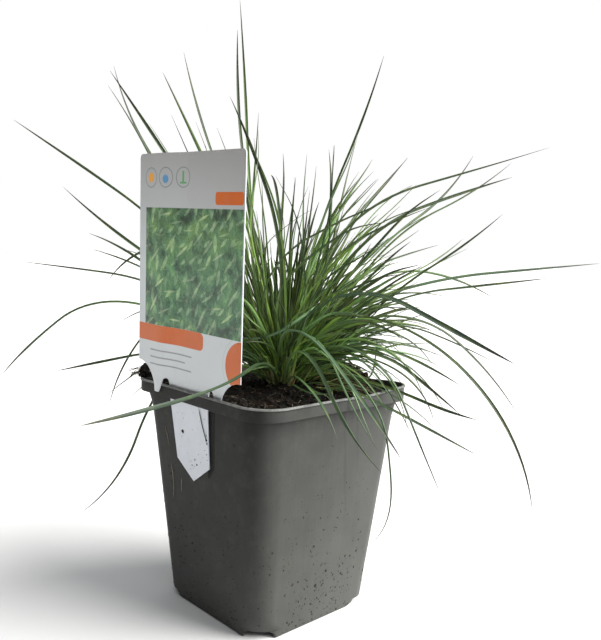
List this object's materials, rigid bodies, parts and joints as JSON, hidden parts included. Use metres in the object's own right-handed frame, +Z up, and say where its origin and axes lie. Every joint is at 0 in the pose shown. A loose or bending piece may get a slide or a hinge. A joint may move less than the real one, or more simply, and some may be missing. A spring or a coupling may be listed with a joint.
{
  "type": "potted blue fescue clump",
  "caption": "Clump of fine blue-green grass in a small square tapered nursery pot of soil, with a plant label hung in the pot's rim slot.",
  "frame": {"origin": "centre of the pot's foot, on the surface that it stands on", "axes": "+Z up; the pot's sides are square to X and Y, and the plant label stands on the pot's -X side"},
  "size_m": [0.2965, 0.2642, 0.2868],
  "materials": {
    "pot_plastic": "recycled grey polypropylene, slightly satin, with dirt specks",
    "potting_soil": "moist dark peat-and-bark potting soil, crumbly",
    "crown_sheaths": "living grass sheaths, pale yellow-green",
    "fescue_blade": "living grass blades, green with a grey-blue bloom",
    "label_card": "thin printed polypropylene card, satin"
  },
  "bodies": {
    "root": {"pot": "pot_plastic", "potting_soil": "potting_soil", "crown": "crown_sheaths", "plant_label": "label_card", "shoot_01": "fescue_blade", "shoot_02": "fescue_blade", "shoot_03": "fescue_blade", "shoot_04": "fescue_blade", "shoot_05": "fescue_blade", "shoot_06": "fescue_blade", "shoot_07": "fescue_blade", "shoot_08": "fescue_blade", "shoot_09": "fescue_blade", "shoot_10": "fescue_blade", "shoot_11": "fescue_blade", "shoot_12": "fescue_blade", "shoot_13": "fescue_blade", "shoot_14": "fescue_blade", "shoot_15": "fescue_blade", "shoot_16": "fescue_blade", "shoot_17": "fescue_blade", "shoot_18": "fescue_blade", "shoot_19": "fescue_blade", "shoot_20": "fescue_blade", "shoot_21": "fescue_blade", "shoot_22": "fescue_blade", "shoot_23": "fescue_blade", "shoot_24": "fescue_blade", "shoot_25": "fescue_blade", "shoot_26": "fescue_blade", "shoot_27": "fescue_blade", "shoot_28": "fescue_blade", "shoot_29": "fescue_blade", "shoot_30": "fescue_blade", "shoot_31": "fescue_blade", "shoot_32": "fescue_blade", "shoot_33": "fescue_blade", "shoot_34": "fescue_blade", "shoot_35": "fescue_blade", "shoot_36": "fescue_blade", "shoot_37": "fescue_blade", "shoot_38": "fescue_blade", "shoot_39": "fescue_blade", "shoot_40": "fescue_blade", "shoot_41": "fescue_blade", "shoot_42": "fescue_blade", "shoot_43": "fescue_blade", "shoot_44": "fescue_blade", "shoot_45": "fescue_blade", "shoot_46": "fescue_blade", "shoot_47": "fescue_blade", "shoot_48": "fescue_blade", "shoot_49": "fescue_blade", "shoot_50": "fescue_blade", "shoot_51": "fescue_blade", "shoot_52": "fescue_blade", "shoot_53": "fescue_blade"}
  },
  "joints": []
}
